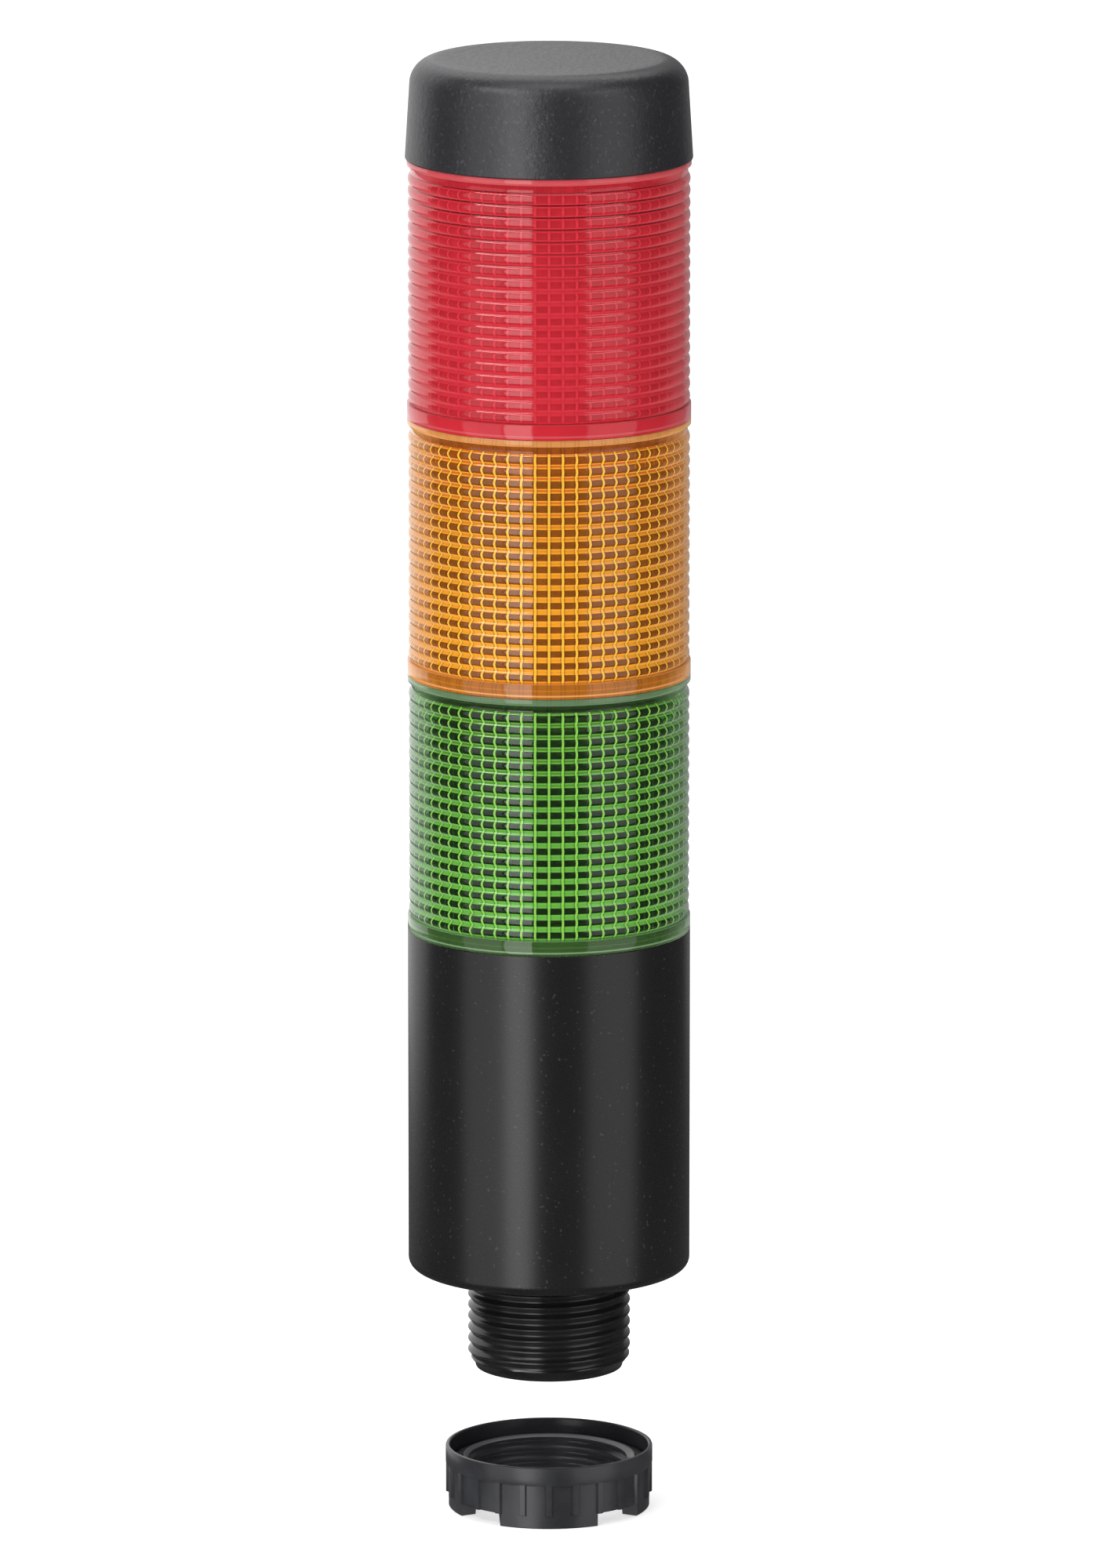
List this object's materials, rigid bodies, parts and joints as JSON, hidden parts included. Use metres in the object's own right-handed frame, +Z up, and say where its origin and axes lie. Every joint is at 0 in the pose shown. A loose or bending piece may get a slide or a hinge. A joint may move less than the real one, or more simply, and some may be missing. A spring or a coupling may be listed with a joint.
{
  "type": "signal tower light",
  "caption": "Slim signal tower with stacked coloured lens tiers that twist off, a plain round base, and a threaded stem with a ring nut for fixing through a panel.",
  "frame": {"origin": "on the axis, in the underside of the base that rests on the panel", "axes": "+Z up along the axis through the lens tiers, -Z along the threaded stem; +X and +Y across the body, the circuit board standing in the XZ plane with its terminal block on the -Y side"},
  "size_m": [0.0374, 0.0374, 0.1931],
  "materials": {
    "cap_plastic": "matte black with a fine moulded grain",
    "base_plastic": "satin black",
    "stem_plastic": "semi-gloss black",
    "nut_plastic": "dark grey, semi-gloss",
    "lens_red": "clear red",
    "lens_amber": "clear amber",
    "lens_green": "clear green",
    "seal_rubber": "matte",
    "frame_plastic": "matte black",
    "board_laminate": "black solder mask",
    "lamp_resin": "pale resin",
    "block_plastic": "green moulding",
    "part_resin": "moulded black",
    "screw_steel": "bright zinc plated",
    "contact_brass": "plated",
    "can_metal": "satin",
    "fuse_ceramic": "pale ceramic"
  },
  "bodies": {
    "base": {"base_tube": "base_plastic", "stem": "stem_plastic", "stem_screws": "screw_steel", "panel_seal": "seal_rubber", "board_frame": "frame_plastic", "frame_screws": "screw_steel", "frame_cushion": "seal_rubber", "main_board": "board_laminate", "leds_red": "lamp_resin", "leds_amber": "lamp_resin", "leds_green": "lamp_resin", "terminal_block": "block_plastic", "terminal_screws": "screw_steel", "wire_cages": "contact_brass", "rectifier": "part_resin", "driver_chips": "part_resin", "capacitors": "can_metal", "resistors": "part_resin", "fuse": "fuse_ceramic"},
    "green_tier": {"lens_green": "lens_green", "seal_green": "seal_rubber"},
    "amber_tier": {"lens_amber": "lens_amber", "seal_amber": "seal_rubber"},
    "red_tier": {"lens_red": "lens_red", "seal_red": "seal_rubber"},
    "cap_piece": {"cap": "cap_plastic", "cap_seal": "seal_rubber"},
    "nut_ring": {"nut_grip_ring": "seal_rubber"},
    "nut": {"ring_nut": "nut_plastic"}
  },
  "joints": [
    {"name": "green_twist", "type": "hinge", "parent": "base", "child": "green_tier", "pos_m": [0, 0, 0.0456], "axis": [0, 0, 1], "range_deg": [0, 15]},
    {"name": "amber_twist", "type": "hinge", "parent": "green_tier", "child": "amber_tier", "pos_m": [0, 0, 0.0796], "axis": [0, 0, 1], "range_deg": [0, 15]},
    {"name": "red_twist", "type": "hinge", "parent": "amber_tier", "child": "red_tier", "pos_m": [0, 0, 0.1136], "axis": [0, 0, 1], "range_deg": [0, 15]},
    {"name": "cap_twist", "type": "hinge", "parent": "red_tier", "child": "cap_piece", "pos_m": [0, 0, 0.1476], "axis": [0, 0, 1], "range_deg": [0, 15]},
    {"name": "nut_travel", "type": "slide", "parent": "base", "child": "nut_ring", "axis": [0, 0, 1], "range_m": [0, 0.0237]},
    {"name": "nut_turn", "type": "hinge", "parent": "nut_ring", "child": "nut", "pos_m": [0, 0, -0.0283], "axis": [0, 0, 1], "range_deg": [0, 5686]}
  ],
  "couplings": [
    {"joint": "nut_travel", "follows": "nut_turn", "m_per_rad": 0.00023873}
  ]
}
